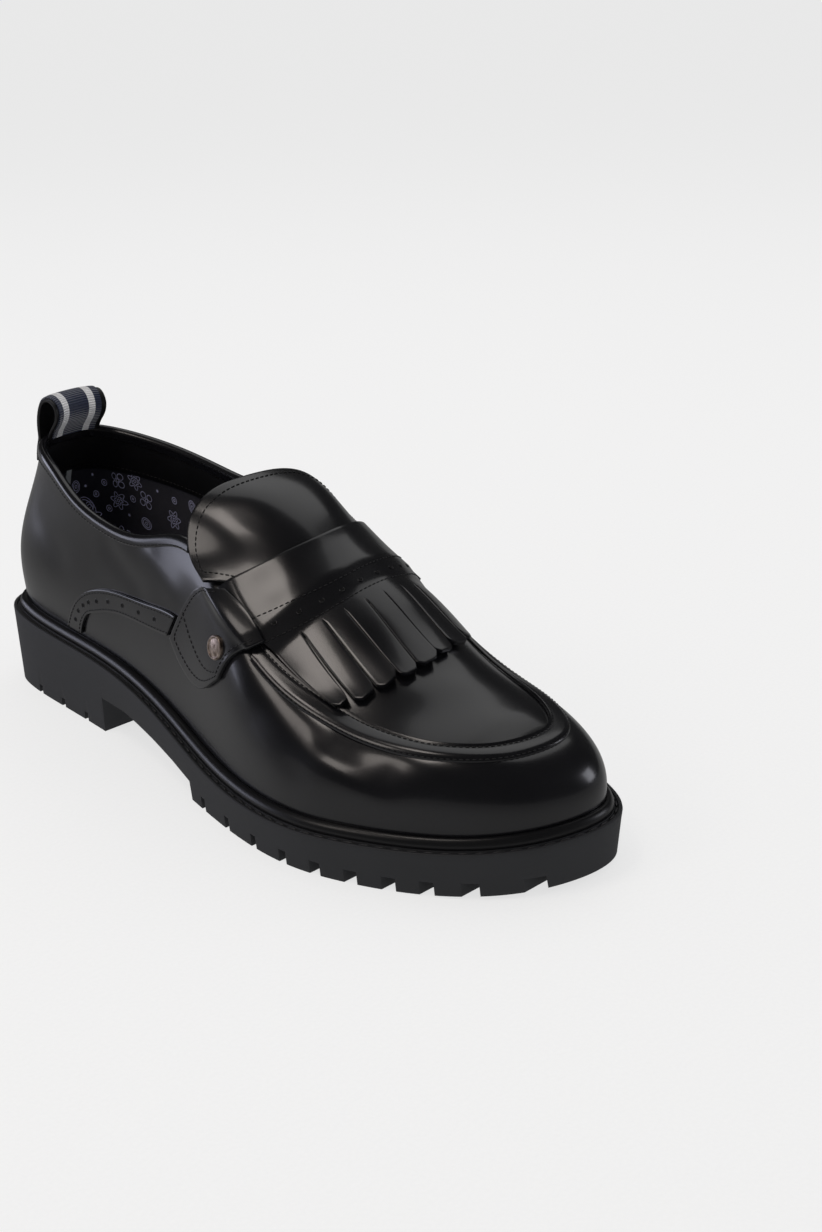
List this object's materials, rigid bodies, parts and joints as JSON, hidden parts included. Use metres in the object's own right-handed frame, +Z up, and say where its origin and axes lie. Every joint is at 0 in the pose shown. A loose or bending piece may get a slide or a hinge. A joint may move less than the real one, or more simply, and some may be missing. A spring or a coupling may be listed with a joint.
{
  "type": "kiltie loafer",
  "caption": "Men's right kiltie loafer: hollow leather upper with raised apron seam, saddle strap with fringe, pull loop and a lugged unit sole.",
  "frame": {"origin": "middle of the sole's outline, on the floor under the shoe", "axes": "+Z up, the toe at -Y, the lateral side of the right shoe at -X"},
  "size_m": [0.1114, 0.3, 0.1215],
  "materials": {
    "polished_leather": "high-shine black leather, soft clear coat, fine grain",
    "sole_rubber": "matte slate-black moulded rubber",
    "rim_rubber": "smooth semi-gloss black rubber",
    "insole_fabric": "matte dark woven sock lining",
    "ribbon": "ribbed navy ribbon with white stripes",
    "pale_bronze": "antique pale bronze, satin"
  },
  "bodies": {
    "root": {"outsole": "sole_rubber", "storm_rim": "rim_rubber", "insole": "insole_fabric", "upper": "polished_leather", "apron_seam": "polished_leather", "collar_binding": "polished_leather", "brogue_band_lateral": "polished_leather", "brogue_band_medial": "polished_leather", "tongue": "polished_leather", "strap_and_kiltie": "polished_leather", "strap_tab_lateral": "polished_leather", "strap_tab_medial": "polished_leather", "stud": "pale_bronze", "pull_loop": "ribbon"}
  },
  "joints": []
}
